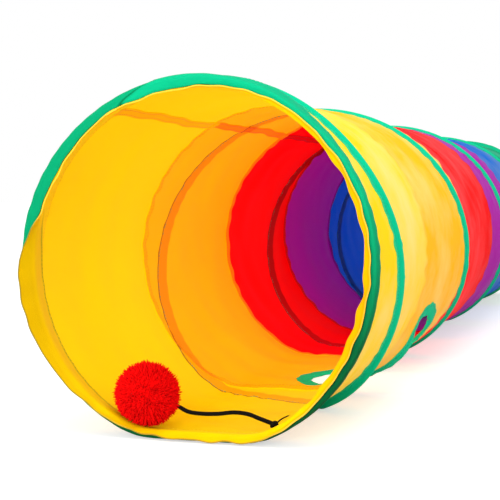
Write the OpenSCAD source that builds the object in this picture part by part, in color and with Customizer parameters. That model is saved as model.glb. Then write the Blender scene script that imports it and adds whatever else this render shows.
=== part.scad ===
// Pop-up pet agility tunnel.
// Six rainbow fabric panels are sewn end to end and held open by one spring-steel helix that runs
// inside a green tape casing, with a closed wire hoop at each mouth. A bound peephole sits low on
// one side of the amber panel, and a pom-pom on a short elastic hangs just inside the front mouth.
// The tunnel lies along Y with its front mouth at -Y, and rests on Z = 0.

/* [Tunnel] */
// Overall length, mouth to mouth
tunnel_len = 1300; // [900:10:1800]
// Outside radius over the wire casings
tunnel_r = 125; // [110:1:150]
// How far the round section sags flat where it lies on the floor
sag = 7; // [4:0.5:10]
// Thickness of the fabric
fabric_t = 0.6; // [0.4:0.1:1]
// Width of the turned-in allowance at each panel seam
seam_lap = 8; // [4:1:14]

/* [Spring wire] */
// Diameter of the spring-steel wire
wire_d = 2; // [1.6:0.1:2.2]
// Turns of the helix between the two end hoops
helix_turns = 3.8333; // [3.8333, 3.3333, 4.3333]

/* [Tape casing] */
// Height of the casing over the fabric
casing_h = 3.4; // [3.2:0.1:4]
// Width of the flat tape, across the tape
casing_w = 20; // [16:1:26]
// Thickness of the tape
tape_t = 0.6; // [0.5:0.1:0.8]
// Length of tunnel that an end hoop's casing covers
hoop_casing_len = 20; // [18:1:24]

/* [Peephole] */
// Clear diameter of the peephole
peephole_d = 126; // [90:2:150]
// Width of its green binding
binding_w = 12; // [8:1:14]
// Distance of its centre from the front mouth
peephole_y = 303; // [296:1:330]
// Direction of its centre round the tunnel, from +X towards the top
peephole_angle = -58.5; // [-75:0.5:-30]

/* [Toy] */
// Diameter of the pom-pom
pom_d = 42; // [30:1:43]
// Diameter of the elastic
elastic_d = 3; // [2:0.5:3]

/* [Hidden] */

// Every ring and sweep is sampled at the same angles, so tape lies flat on the fabric's facets.
facets = 48;
step = 360 / facets;
blend = 4;
axis_h = tunnel_r - sag;
half_len = tunnel_len / 2;
panel_len = tunnel_len / 6;

fabric_r = tunnel_r - casing_h;
fabric_in = fabric_r - fabric_t;
lap_angles = [120, 127.5];
// Slack between neighbouring panels at a seam
seam_gap = 0.1;

// The helix starts beside the front hoop's wire and ends beside the rear hoop's.
hoop_y = 5;
hoop_wire_r = fabric_r + 1;
wire_pair_gap = wire_d + 0.4;
helix_start_y = hoop_y + wire_pair_gap;
helix_steps = round(helix_turns * facets);
helix_pitch = (tunnel_len - 2 * helix_start_y) * facets / helix_steps;
lead_steps = 2;

pom_centre = [-40, 22, 29.2];
pom_knot_r = 3.4;
knot_play = 0.05;
// The anchor knot's neck goes through a hole in the yellow panel and ends in a flat stop outside it.
knot_centre = [49.2, 22, 11.1];
knot_r = 2.7;
neck_r = 1;
neck_len = 4.1;
stop_r = 1.7;
stop_h = 1;
neck_turn = atan2(knot_centre[0], knot_centre[2] - axis_h);
// Route of the elastic from the pom-pom's middle to the knot: x, distance from the mouth, height
elastic_route = [
    [-40, 22, 29.2], [-20, 25.5, 19], [-13, 27, 15.5], [-4, 31, 14], [6, 34, 14],
    [17, 34, 15.5], [28, 31, 15.5], [38, 27, 13.5], [48, 23, 11.5]
];
thread_d = 1;
thread_route = [[50.5, 23.5, 11.5], [54, 26, 14.5], [58, 28, 16.5]];
pom_bore = elastic_route[1] - pom_centre;

yellow = [0.99, 0.80, 0.06];
amber = [1.00, 0.67, 0.02];
red = [0.90, 0.08, 0.07];
purple = [0.47, 0.12, 0.48];
blue = [0.08, 0.26, 0.58];
green = [0.06, 0.70, 0.50];
tape_green = [0.03, 0.66, 0.46];
steel = [0.62, 0.63, 0.65];
black = [0.05, 0.05, 0.05];

// ---- Section of the tunnel -------------------------------------------------------------------

// The larger of two values, blended over the stretch where they are closer than k
function smooth_max(a, b, k) = let (h = max(k - abs(a - b), 0) / k) max(a, b) + h * h * k / 4;

// Point of the section at nominal radius r and angle a: round, but flat where it meets the floor
function rim(r, a) = [r * cos(a), axis_h + smooth_max(r * sin(a), sag - r, blend)];

// The same point at distance y from the front mouth
function place(r, a, y) = let (p = rim(r, a)) [p[0], y - half_len, p[1]];

function section(r) = [for (i = [0:facets - 1]) rim(r, i * step)];

// Inside line of a panel, one fabric thicker where the lengthwise lap seam runs
function lap(i) = (i * step == lap_angles[0] || i * step == lap_angles[1]) ? fabric_t : 0;
function lined_section(r) = [for (i = [0:facets - 1]) rim(r - lap(i), i * step)];

// A tube of fabric between two outlines, from y0 to y1
module tube(outer, inner, y0, y1) {
    translate([0, y1 - half_len, 0])
        rotate([90, 0, 0])
            linear_extrude(y1 - y0)
                difference() {
                    polygon(outer);
                    polygon(inner);
                }
}

// ---- Sweeps ----------------------------------------------------------------------------------

// Skin between successive rings of m points each; closed joins the last ring to the first
module skin(rings, closed = false) {
    n = len(rings);
    m = len(rings[0]);
    spans = closed ? n : n - 1;
    sides = [
        for (i = [0:spans - 1])
            for (j = [0:m - 1])
                let (
                    a = i * m + j,
                    b = i * m + (j + 1) % m,
                    c = (i + 1) % n * m + (j + 1) % m,
                    d = (i + 1) % n * m + j
                )
                    each [[a, c, b], [a, d, c]]
    ];
    first_cap = [for (j = [0:m - 1]) j];
    last_cap = [for (j = [m - 1:-1:0]) (n - 1) * m + j];
    polyhedron([for (ring = rings) each ring], closed ? sides : concat(sides, [first_cap, last_cap]));
}

// A profile of [radius, y] points carried once round the tunnel
module hoop_sweep(profile) {
    skin([for (i = [0:facets - 1]) [for (p = profile) place(p[0], -i * step, p[1])]], closed = true);
}

function hexagon(r, y, size) = [
    for (k = [0:5])
        let (turn = 60 * k + 90)
            [r + size * sin(turn), y + size * cos(turn)]
];

// A profile for the rear mouth from the one for the front mouth
function mirrored(profile) = [
    for (k = [len(profile) - 1:-1:0]) [profile[k][0], tunnel_len - profile[k][1]]
];

// ---- Panels ----------------------------------------------------------------------------------

// A straight panel, with the allowance of its rear seam turned inside
module plain_panel(k) {
    y0 = (k - 1) * panel_len + seam_gap / 2;
    y1 = k * panel_len - seam_gap / 2;
    union() {
        tube(section(fabric_r), lined_section(fabric_in), y0, y1);
        tube(section(fabric_in), lined_section(fabric_in - fabric_t), y1 - seam_lap, y1);
    }
}

// Profile of the front panel: it dips under the hoop's casing and ends in a lip turned inwards
mouth_profile = [
    [fabric_r, 15],
    [fabric_r - 3.4, 9.4],
    [fabric_r - 4, 5.5],
    [fabric_r - 5.6, 3.8],
    [fabric_r - 6.1, 4.3],
    [fabric_r - 4.6, 6],
    [fabric_r - 4, 9.8],
    [fabric_in, 15.4]
];

module yellow_panel() {
    rear = panel_len - seam_gap / 2;
    color(yellow)
        difference() {
            hoop_sweep(concat(
                mouth_profile,
                [
                    [fabric_in, rear - seam_lap],
                    [fabric_in - fabric_t, rear - seam_lap],
                    [fabric_in - fabric_t, rear],
                    [fabric_r, rear]
                ]
            ));
            along_neck() cylinder(h = 2 * neck_len, r = neck_r + knot_play, $fn = 24);
        }
}

module amber_panel() {
    color(amber)
        difference() {
            plain_panel(2);
            peephole_cutter(peephole_d / 2 + 1);
        }
}

module red_panel() {
    color(red) plain_panel(3);
}

module purple_panel() {
    color(purple) plain_panel(4);
}

module blue_panel() {
    color(blue) plain_panel(5);
}

module green_panel() {
    front = 5 * panel_len + seam_gap / 2;
    color(green)
        hoop_sweep(concat(
            mirrored(mouth_profile),
            [
                [fabric_r, front],
                [fabric_in, front]
            ]
        ));
}

// ---- Peephole --------------------------------------------------------------------------------

module peephole_cutter(r) {
    translate([0, peephole_y - half_len, axis_h])
        rotate([0, 90 - peephole_angle, 0])
            cylinder(h = 2 * tunnel_r, r = r, $fn = 96);
}

// Tape folded over the edge of the hole, with one leaf outside the fabric and one inside
module peephole_binding() {
    reach = peephole_d / 2 + binding_w;
    y0 = peephole_y - reach - 2;
    y1 = peephole_y + reach + 2;
    color(tape_green)
        difference() {
            intersection() {
                tube(section(fabric_r + tape_t), section(fabric_in - tape_t), y0, y1);
                difference() {
                    peephole_cutter(reach);
                    peephole_cutter(peephole_d / 2);
                }
            }
            difference() {
                tube(section(fabric_r), section(fabric_in), y0 - 1, y1 + 1);
                peephole_cutter(peephole_d / 2 + 1);
            }
        }
}

// ---- Wires and ferrules ----------------------------------------------------------------------

function helix_angle(i) = 90 - i * step;
function helix_y(i) = helix_start_y + helix_pitch * i / facets;

// Height of the wire: inside the end casings it runs high, and between them on the fabric
function wire_r(i) =
    let (
        s = min(i, helix_steps - i),
        raised = [[1, fabric_r + 1.6], [2, fabric_r + 1.65], [3, fabric_r + wire_d / 2]]
    )
        s <= 0 ? hoop_wire_r : lookup(s, raised);

module hoop_wire(y) {
    color(steel) hoop_sweep(hexagon(hoop_wire_r, y, wire_d / 2));
}

module front_hoop_wire() {
    hoop_wire(hoop_y);
}

module rear_hoop_wire() {
    hoop_wire(tunnel_len - hoop_y);
}

// The helix, with a short lead at each end that lies beside the hoop's wire
module helix_wire() {
    color(steel)
        skin([
            for (i = [-lead_steps:helix_steps + lead_steps])
                let (y = helix_y(min(max(i, 0), helix_steps)))
                    [for (p = hexagon(wire_r(i), y, wire_d / 2)) place(p[0], helix_angle(i), p[1])]
        ]);
}

// Sleeve crimped round the hoop's wire and the end of the helix
module ferrule(first, y_low, y_high) {
    wall = 0.3;
    side = wire_d / 2 + wall;
    box = [
        [hoop_wire_r - side, y_low - side],
        [hoop_wire_r - side, y_high + side],
        [hoop_wire_r + side, y_high + side],
        [hoop_wire_r + side, y_low - side]
    ];
    color(steel)
        difference() {
            skin([for (i = [first, first + 1]) [for (p = box) place(p[0], helix_angle(i), p[1])]]);
            for (y = [y_low, y_high])
                skin([
                    for (i = [first - 1:first + 2])
                        [for (p = hexagon(hoop_wire_r, y, wire_d / 2)) place(p[0], helix_angle(i), p[1])]
                ]);
        }
}

module front_ferrule() {
    ferrule(-lead_steps, hoop_y, helix_start_y);
}

module rear_ferrule() {
    ferrule(helix_steps + lead_steps - 1, tunnel_len - helix_start_y, tunnel_len - hoop_y);
}

// ---- Tape casings ----------------------------------------------------------------------------

// How far the outer leaf is lifted where the helix leaves the hoop, i steps along the helix
function wire_lift(i) = lookup(i, [[-1, 0], [0, 1.2], [1, 2.5], [2, 2.6], [3, 1.7], [4, 0]]);

// One tape folded round the hoop's wire: its two leaves close on the outside of the fabric
function hoop_casing_profile(lift) = [
    [fabric_r + 1.3 + lift, hoop_casing_len],
    [fabric_r + 1.3 + lift, 14],
    [tunnel_r + lift / 12, 10],
    [tunnel_r, 5],
    [tunnel_r - 1.1, 1],
    [fabric_r - 1, 0],
    [fabric_r - 3.8, 2.5],
    [fabric_r - 3.2, 9.5],
    [fabric_r, 14.8],
    [fabric_r, hoop_casing_len],
    [fabric_r + tape_t, hoop_casing_len],
    [fabric_r + tape_t, 14.3],
    [fabric_r - 2.4, 9.2],
    [fabric_r - 3, 3.1],
    [fabric_r - 0.8, 0.7],
    [tunnel_r - 1.6, 1.6],
    [tunnel_r - 0.7, 5.2],
    [tunnel_r - 0.7 + lift / 12, 9.6],
    [fabric_r + 0.7 + lift, 13.7],
    [fabric_r + 0.7 + lift, hoop_casing_len]
];

function front_casing_rings() = [
    for (i = [0:facets - 1])
        let (near = i > facets - 2 ? i - facets : i)
            [for (p = hoop_casing_profile(wire_lift(near))) place(p[0], helix_angle(i), p[1])]
];

function rear_casing_rings() = [
    for (i = [0:facets - 1])
        let (
            s = (helix_steps - i) % facets,
            t = s < 0 ? s + facets : s,
            near = t > facets - 2 ? t - facets : t
        )
            [for (p = mirrored(hoop_casing_profile(wire_lift(near)))) place(p[0], helix_angle(i), p[1])]
];

module front_hoop_casing() {
    color(tape_green) skin(front_casing_rings(), closed = true);
}

module rear_hoop_casing() {
    color(tape_green) skin(rear_casing_rings(), closed = true);
}

// Section of the helix's casing as [height over the fabric, offset along the tunnel]
tape_half = casing_w / 2 / cos(atan(helix_pitch / (2 * PI * fabric_r)));
casing_profile = [
    [0, tape_half], [tape_t, tape_half], [tape_t + 0.2, 3.4], [casing_h - 0.2, 1.8],
    [casing_h - 0.2, -1.8], [tape_t + 0.2, -3.4], [tape_t, -tape_half], [0, -tape_half],
    [0, -2.4], [casing_h - 0.6, -1.3], [casing_h - 0.6, 1.3], [0, 2.4]
];

module helix_casing() {
    color(tape_green)
        intersection() {
            skin([
                for (i = [0:helix_steps])
                    [for (p = casing_profile) place(fabric_r + p[0], helix_angle(i), helix_y(i) + p[1])]
            ]);
            translate([-tunnel_r - 5, hoop_casing_len - half_len, -5])
                cube([2 * tunnel_r + 10, tunnel_len - 2 * hoop_casing_len, 2 * tunnel_r + 10]);
        }
}

// ---- Toy -------------------------------------------------------------------------------------

function from_mouth(p) = [p[0], p[1] - half_len, p[2]];

// Smooth curve through the route's points, n samples a span
function curve_point(pts, i, t) =
    let (
        last = len(pts) - 1,
        p0 = pts[max(i - 1, 0)],
        p1 = pts[i],
        p2 = pts[min(i + 1, last)],
        p3 = pts[min(i + 2, last)]
    )
        0.5 * (2 * p1 + (p2 - p0) * t + (2 * p0 - 5 * p1 + 4 * p2 - p3) * t * t
            + (3 * p1 - p0 - 3 * p2 + p3) * t * t * t);

function curve(pts, n) = concat(
    [for (i = [0:len(pts) - 2]) for (k = [0:n - 1]) curve_point(pts, i, k / n)],
    [pts[len(pts) - 1]]
);

function unit(v) = v / norm(v);

module cord(route, d, sides, n) {
    path = [for (p = curve(route, n)) from_mouth(p)];
    last = len(path) - 1;
    skin([
        for (i = [0:last])
            let (
                along = unit(path[min(i + 1, last)] - path[max(i - 1, 0)]),
                across = unit(cross(along, [0, 0, 1])),
                up = cross(across, along)
            )
                [
                    for (k = [0:sides - 1])
                        let (turn = k * 360 / sides)
                            path[i] + d / 2 * (across * cos(turn) - up * sin(turn))
                ]
    ]);
}

// Puts what it draws along +Z at the knot's middle, pointing out through the fabric
module along_neck() {
    translate(from_mouth(knot_centre)) rotate([0, neck_turn, 0]) children();
}

module knot_ball() {
    along_neck() sphere(r = knot_r, $fn = 32);
}

module anchor_knot() {
    color(black)
        union() {
            knot_ball();
            along_neck() cylinder(h = neck_len + stop_h, r = neck_r, $fn = 24);
            along_neck() translate([0, 0, neck_len]) cylinder(h = stop_h, r = stop_r, $fn = 24);
        }
}

// The knot's loose tail
module anchor_thread() {
    color(black)
        difference() {
            cord(thread_route, thread_d, 6, 3);
            knot_ball();
        }
}

// The straight first stretch lies in the pom-pom's bore and ends at its inner knot, and the other end
// is rounded about the axis that it lifts on.
module elastic_cord() {
    start = pom_centre + unit(pom_bore) * pom_knot_r;
    route = concat([start], [for (k = [1:len(elastic_route) - 1]) elastic_route[k]]);
    color(black)
        difference() {
            cord(route, elastic_d, 8, 3);
            translate(from_mouth(knot_centre))
                rotate([90, 0, 0]) cylinder(h = 3 * elastic_d, r = knot_r, center = true, $fn = 32);
            translate(from_mouth(pom_centre)) sphere(r = pom_knot_r, $fn = 32);
        }
}

module pom_knot() {
    color(black) translate(from_mouth(pom_centre)) sphere(r = pom_knot_r, $fn = 32);
}

module pom_pom() {
    heading = atan2(pom_bore[1], pom_bore[0]);
    tilt = acos(pom_bore[2] / norm(pom_bore));
    color(red)
        translate(from_mouth(pom_centre))
            difference() {
                sphere(d = pom_d, $fn = 64);
                rotate([0, tilt, heading]) {
                    pocket = pom_knot_r + knot_play;
                    cylinder(h = 2 * pocket, r = pocket, center = true, $fn = 32);
                    cylinder(h = pom_d, r = elastic_d / 2 + 0.2, $fn = 24);
                }
            }
}

yellow_panel();
amber_panel();
red_panel();
purple_panel();
blue_panel();
green_panel();
front_hoop_wire();
rear_hoop_wire();
helix_wire();
front_ferrule();
rear_ferrule();
front_hoop_casing();
rear_hoop_casing();
helix_casing();
peephole_binding();
anchor_thread();
anchor_knot();
elastic_cord();
pom_knot();
pom_pom();
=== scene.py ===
"""Pop-up pet agility tunnel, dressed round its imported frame.

Six polyester panels are sewn end to end over one steel helix that runs in a green tape casing, with
a wire hoop rolled into tape at each mouth. The front mouth has a ruffled yellow hem and a pom-pom on
a short elastic, and the amber panel has a bound peephole low on one side.

Places on the tunnel are given as a radius, an angle (radians from +X towards the top) and a distance
from the front mouth. Everything is in metres.
"""

import math

import bpy
import numpy as np
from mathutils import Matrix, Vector


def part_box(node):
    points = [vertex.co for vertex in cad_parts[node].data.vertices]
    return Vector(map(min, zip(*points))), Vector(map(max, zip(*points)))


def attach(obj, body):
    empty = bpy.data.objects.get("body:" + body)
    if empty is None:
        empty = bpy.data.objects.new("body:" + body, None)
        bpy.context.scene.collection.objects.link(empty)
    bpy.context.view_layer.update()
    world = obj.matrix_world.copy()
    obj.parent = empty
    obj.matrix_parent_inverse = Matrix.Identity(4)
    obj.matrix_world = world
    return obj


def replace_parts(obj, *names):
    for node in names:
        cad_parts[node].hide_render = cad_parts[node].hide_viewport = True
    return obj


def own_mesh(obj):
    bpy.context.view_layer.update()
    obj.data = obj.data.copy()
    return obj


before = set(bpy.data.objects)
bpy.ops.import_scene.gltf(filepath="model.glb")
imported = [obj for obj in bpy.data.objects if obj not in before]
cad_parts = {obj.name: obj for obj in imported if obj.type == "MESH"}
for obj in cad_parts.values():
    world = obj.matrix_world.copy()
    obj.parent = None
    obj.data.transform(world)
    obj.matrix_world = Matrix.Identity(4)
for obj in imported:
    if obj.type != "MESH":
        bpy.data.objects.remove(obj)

MM = 0.001
TAU = 2 * math.pi
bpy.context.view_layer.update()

# ---- Sizes from the frame ----

PANELS = ["yellow", "amber", "red", "purple", "blue", "green"]
BODIES = [
    "front_mouth", "amber_section", "red_section", "purple_section", "blue_section", "green_section"
]
TUNNEL_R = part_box("front_hoop_casing")[1].x
FABRIC_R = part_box("purple_panel")[1].x
AXIS_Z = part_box("purple_panel")[1].z - FABRIC_R
SAG = TUNNEL_R - AXIS_Z
HALF_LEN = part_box("rear_hoop_casing")[1].y
LENGTH = 2 * HALF_LEN
PANEL_LEN = LENGTH / len(PANELS)
HEM_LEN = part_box("front_hoop_casing")[1].y + HALF_LEN
SEAM_LAP = 8 * MM
FLOOR_BLEND = 4 * MM
# How far the cloth keeps inside the tunnel's circle, and above the floor.
CIRCLE_GAP, FLOOR_GAP = 0.1 * MM, 0.2 * MM
FABRIC_T = 0.6 * MM
TAPE_T = 0.6 * MM
TAPE_RISE = 0.85 * MM
WIRE_GAP = 1.7 * MM

HOOP_Y = 5 * MM
HELIX_START = 7.4 * MM
HELIX_TURNS = 23 / 6
HELIX_PITCH = (LENGTH - 2 * HELIX_START) / HELIX_TURNS
WIRE_R = 1 * MM
TAPE_HALF = 10.9 * MM
LAP_ANGLES = np.radians([117.4, 121.6])

BINDING_W = 12 * MM
HOLE_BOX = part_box("peephole_binding")
HOLE_R = (HOLE_BOX[1].y - HOLE_BOX[0].y) / 2 - BINDING_W
HOLE_PULL = 2 * MM
HOLE_Y = (HOLE_BOX[1].y + HOLE_BOX[0].y) / 2 + HALF_LEN - HOLE_PULL
HOLE_ANGLE = math.radians(-58.5)


def from_mouth(points):
    """Points of x, distance from the front mouth and height, in millimetres, as the frame's points."""
    return [(x * MM, y * MM - HALF_LEN, z * MM) for x, y, z in points]


# The toy's routes are the CAD source's own. POM_REST is how far the pom-pom has settled from its place.
ELASTIC_ROUTE = from_mouth([
    (-40, 22, 29.2), (-20, 25.5, 19), (-13, 27, 15.5), (-4, 31, 14), (6, 34, 14),
    (17, 34, 15.5), (28, 31, 15.5), (38, 27, 13.5), (48, 23, 11.5),
])
THREAD_ROUTE = from_mouth([(50.5, 23.5, 11.5), (54, 26, 14.5), (58, 28, 16.5)])
POM_CENTRE, KNOT_CENTRE = from_mouth([(-40, 22, 29.2), (49.2, 22, 11.1)])
POM_R = 22.4 * MM
POM_REST = (-0.5 * MM, -3.5 * MM, -1.5 * MM)
POM_KNOT_R = 3.4 * MM
ELASTIC_R = 1.5 * MM

# ---- Camera ----

CAMERA_AT = (0.2905, -1.4545, 0.1698)
CAMERA_TILT, CAMERA_TURN = -2.74, 17.33
CAMERA_LENS, SENSOR = 92.8, 36


def in_scene(name, data):
    """A new object in the scene, with its data."""
    made = bpy.data.objects.new(name, data)
    bpy.context.scene.collection.objects.link(made)
    return made


def make_camera():
    data = bpy.data.cameras.new("camera")
    data.sensor_width = SENSOR
    data.lens = CAMERA_LENS
    data.clip_start, data.clip_end = 0.01, 50
    camera = in_scene("camera", data)
    camera.location = CAMERA_AT
    camera.rotation_euler = (math.radians(90 + CAMERA_TILT), 0, math.radians(CAMERA_TURN))
    bpy.context.scene.camera = camera


# ---- Section of the tunnel ----


def smooth_max(a, b, k):
    """The larger of two values, blended where they are closer than k."""
    h = np.maximum(k - np.abs(a - b), 0) / k
    return np.maximum(a, b) + h * h * k / 4


def smooth_step(low, high, value):
    """0 below low and 1 above high, or the reverse, with an even curve in between."""
    t = np.clip((value - low) / (high - low), 0, 1)
    return t * t * (3 - 2 * t)


def place(radius, angle, y):
    """Points on the tunnel's section, which is round but flat where it meets the floor."""
    down = np.maximum(-np.sin(angle), 0.01)
    radius = np.minimum(radius, np.maximum(TUNNEL_R - CIRCLE_GAP, (AXIS_Z - FLOOR_GAP) / down))
    z = AXIS_Z + smooth_max(radius * np.sin(angle), SAG - radius, FLOOR_BLEND)
    return np.stack(np.broadcast_arrays(radius * np.cos(angle), y - HALF_LEN, z), -1)


def outward(angle):
    """Directions away from the tunnel's axis."""
    return np.stack([np.cos(angle), np.zeros_like(angle), np.sin(angle)], -1)


def helix_turn(angle):
    """The helix's first turn at which it passes each angle. It starts at the top, clockwise."""
    return ((math.pi / 2 - angle) / TAU) % 1


def waves(angle, y, seed, turns, lengths, count=10):
    """Smooth noise of unit strength that closes on itself round the tunnel. turns and lengths are the
    ranges of how often its waves go round and of how long they are along the tunnel."""
    rng = np.random.default_rng(seed)
    total = 0
    for _ in range(count):
        times = rng.integers(turns[0], turns[1] + 1) * rng.choice([-1, 1])
        phase = times * angle + TAU * y / rng.uniform(*lengths)
        total = total + np.cos(phase + rng.uniform(0, TAU))
    return total / math.sqrt(count / 2)


def ripples(angle, seed, turns, count=12):
    """Waves that change round the tunnel and not along it."""
    return waves(angle, 0, seed, turns, (1, 2), count)


def bump(angle, y, degrees, width, at, length):
    """A smooth mound of unit height at a direction and distance."""
    away = np.degrees(angle) - degrees
    away = (away + 180) % 360 - 180
    return np.exp(-((away / width) ** 2) - ((y - at) / length) ** 2)


def wire_gaps(angle, y):
    """Distances along the tunnel to the wires before and after each point."""
    low = np.full(np.broadcast(angle, y).shape, HOOP_Y)
    high = np.full(low.shape, LENGTH - HOOP_Y)
    for k in range(4):
        turn = helix_turn(angle) + k
        at = np.where(turn <= HELIX_TURNS, HELIX_START + HELIX_PITCH * turn, np.inf)
        low = np.where(at <= y, np.maximum(low, at), low)
        high = np.where(at > y, np.minimum(high, at), high)
    return np.maximum(y - low, 0), np.maximum(high - y, 0)


SAG_DEPTH = 2.2 * MM
PUCKER_REACH = 9 * MM
# Where the photographed cloth stands out or is drawn in: a direction and its spread in degrees, then
# a distance from the front mouth, its spread, and the height, in millimetres.
MOUNDS = [
    (68, 26, 20, 62, 4.2), (-48, 13, 245, 30, 3.5), (-80, 24, 219, 9, -3.4), (-86, 20, 320, 70, 5),
    (-44, 12, 254, 22, 7.2), (-50, 9, 352, 16, 3),
]
# Above the peephole the cloth slants outwards along the tunnel.
SLOPE, SLOPE_ANGLE, SLOPE_Y = 0.045, -29, 300 * MM


def fabric_offset(angle, y):
    """How far the fabric stands out from its even radius: it sags in between the wires, folds softly
    round the tunnel, and puckers at the seams and along the tape."""
    before, after = wire_gaps(angle, y)
    span = before + after
    sag = np.sin(np.pi * before / span) ** 2 * np.minimum(span / HELIX_PITCH, 1)
    near = np.minimum(before, after)
    loose = smooth_step(TAPE_HALF, 45 * MM, near)
    folds = 0.3 * MM * waves(angle, y, 1, (1, 7), (40 * MM, 90 * MM), 14)
    creases = 0.05 * MM * waves(angle, y, 2, (6, 22), (24 * MM, 60 * MM), 22)
    offset = -SAG_DEPTH * sag + loose * (folds + creases)
    for degrees, width, at, length, height in MOUNDS:
        offset = offset + height * MM * bump(angle, y, degrees, width, at * MM, length * MM)
    offset = offset + SLOPE * (y - SLOPE_Y) * bump(angle, y, SLOPE_ANGLE, 15, SLOPE_Y, 80 * MM)
    edge = np.exp(-np.maximum(near - TAPE_HALF, 0) / PUCKER_REACH) * (near > TAPE_HALF * 0.8)
    offset = offset + 0.22 * MM * edge * waves(angle, y, 3, (34, 70), (60 * MM, 200 * MM))
    for k in range(1, len(PANELS)):
        seam = np.exp(-np.abs(y - k * PANEL_LEN) / PUCKER_REACH)
        offset = offset + 0.42 * MM * seam * waves(angle, y, 10 + k, (22, 52), (60 * MM, 200 * MM))
    return offset


def fabric_r(angle, y):
    """Radius of the fabric's outer face."""
    return FABRIC_R + fabric_offset(angle, y)


def seam_shift(angle, y):
    """How far the gathered seams wander along the tunnel."""
    shift = 0 * (angle + y)
    for k in range(1, len(PANELS)):
        near = np.exp(-((y - k * PANEL_LEN) / (14 * MM)) ** 2)
        shift = shift + 0.85 * MM * near * ripples(angle, 20 + k, (9, 38))
    return shift


def lap_shift(y):
    """How far the lengthwise lap seam wanders round the tunnel, in radians."""
    swings = ((0.5, 130 * MM), (0.3, 47 * MM))
    return sum(math.radians(size) * np.sin(TAU * y / length) for size, length in swings)


def lap_turn(angle, y):
    """How far the cloth beside the lap seam turns with it."""
    return lap_shift(y) * np.exp(-((angle - LAP_ANGLES.mean()) / 0.2) ** 2)


# ---- Meshes ----

# The angle between faces, in degrees, from which the edge between them is shaded sharp.
SHARP = 40


def grid(rows, columns):
    """Every pair of two lists' values."""
    return np.stack(np.meshgrid(rows, columns, indexing="ij"), -1)


def mesh_piece(name, points, faces, material, uvs=None, sharp=None):
    """A smooth-shaded mesh object. uvs holds one pair for each corner of each face."""
    mesh = bpy.data.meshes.new(name)
    mesh.from_pydata(points.reshape(-1, 3).tolist(), [], faces)
    if uvs is not None:
        layer = mesh.uv_layers.new(name="cloth")
        layer.data.foreach_set("uv", uvs.astype(np.float32).ravel())
    mesh.polygons.foreach_set("use_smooth", [True] * len(mesh.polygons))
    if sharp is not None:
        mesh.set_sharp_from_angle(angle=math.radians(sharp))
    mesh.materials.append(material)
    piece = in_scene(name, mesh)
    return piece


def stepped(low, high, spacing, steps=()):
    """Even values from low to high, with a close pair at each step in between."""
    values = list(np.linspace(low, high, max(2, round((high - low) / spacing) + 1)))
    for at in steps:
        half = spacing * 0.05
        values = [v for v in values if abs(v - at) > spacing * 0.3] + [at - half, at + half]
    return np.array(sorted(values))


def tint_points(piece, tint):
    """Stores a colour's tint for each point. Its fourth number is 1 on a panel's outer face."""
    layer = piece.data.attributes.new("tint", "FLOAT_COLOR", "POINT")
    layer.data.foreach_set("color", np.ascontiguousarray(tint, np.float32).ravel())


# How much of its tint, the painted shade of doubled cloth, the cloth's outer face shows.
OUTER_TINT = 0.12


def closed_shell(name, outer, inner, material, uv, tint, kept):
    """A closed shell between two grids of points that go once round. uv is the grid of both faces'
    coordinates with one more row, tint the grid of their colours' tints, and kept says which cells
    are there."""
    n, m = outer.shape[:2]
    i, j = np.meshgrid(np.arange(n), np.arange(m - 1), indexing="ij")

    def quads(corners, cells):
        indices = [((i + di) % n) * m + j + dj + n * m * inside for di, dj, inside in corners]
        pairs = [uv[i + di, j + dj] for di, dj, _ in corners]
        return np.stack(indices, -1)[cells], np.stack(pairs, -2)[cells]

    sides = [
        quads([(0, 0, 0), (0, 1, 0), (1, 1, 0), (1, 0, 0)], kept),
        quads([(0, 0, 1), (1, 0, 1), (1, 1, 1), (0, 1, 1)], kept),
    ]
    for neighbours, rim in (
        (np.pad(kept, ((0, 0), (1, 0)))[:, :-1], [(0, 0, 0), (1, 0, 0), (1, 0, 1), (0, 0, 1)]),
        (np.pad(kept, ((0, 0), (0, 1)))[:, 1:], [(1, 1, 0), (0, 1, 0), (0, 1, 1), (1, 1, 1)]),
        (np.roll(kept, 1, 0), [(0, 1, 0), (0, 0, 0), (0, 0, 1), (0, 1, 1)]),
        (np.roll(kept, -1, 0), [(1, 0, 0), (1, 1, 0), (1, 1, 1), (1, 0, 1)]),
    ):
        sides.append(quads(rim, kept & ~neighbours))
    points = np.concatenate([outer.reshape(-1, 3), inner.reshape(-1, 3)])
    faces, uvs = (np.concatenate([s[k] for s in sides]) for k in (0, 1))
    used, faces = np.unique(faces, return_inverse=True)
    piece = mesh_piece(name, points[used], faces.reshape(-1, 4).tolist(), material, uvs, SHARP)
    tint = tint.reshape(-1, 3)
    colours = np.append(1 - OUTER_TINT * (1 - tint), tint, 0)
    facing_out = np.repeat([1.0, 0.0], n * m)[:, None]
    tint_points(piece, np.append(colours, facing_out, 1)[used])
    return piece


def sweep(name, rings, material, uv, closed=False, flip=False, sharp=SHARP, tint=None):
    """A skin over successive rings of points. uv holds each ring point's coordinates, with one more
    column, and one more row where the sweep is closed, and tint each ring point's tint."""
    n, m = rings.shape[:2]
    i, j = np.meshgrid(np.arange(n if closed else n - 1), np.arange(m), indexing="ij")
    corners = [(0, 0), (1, 0), (1, 1), (0, 1)]
    ends = [list(range(m)), [(n - 1) * m + k for k in reversed(range(m))]]
    if flip:
        corners.reverse()
        ends = [end[::-1] for end in ends]
    faces = np.stack([((i + di) % n) * m + (j + dj) % m for di, dj in corners], -1)
    faces = faces.reshape(-1, 4).tolist()
    uvs = np.stack([uv[i + di, j + dj] for di, dj in corners], -2).reshape(-1, 2)
    if not closed:
        faces += ends
        uvs = np.append(uvs, np.zeros((2 * m, 2)), 0)
    piece = mesh_piece(name, rings, faces, material, uvs, sharp)
    if tint is None:
        tint = np.ones((n, m, 3))
    tint_points(piece, np.append(tint, np.zeros((n, m, 1)), -1))
    return piece


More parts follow.
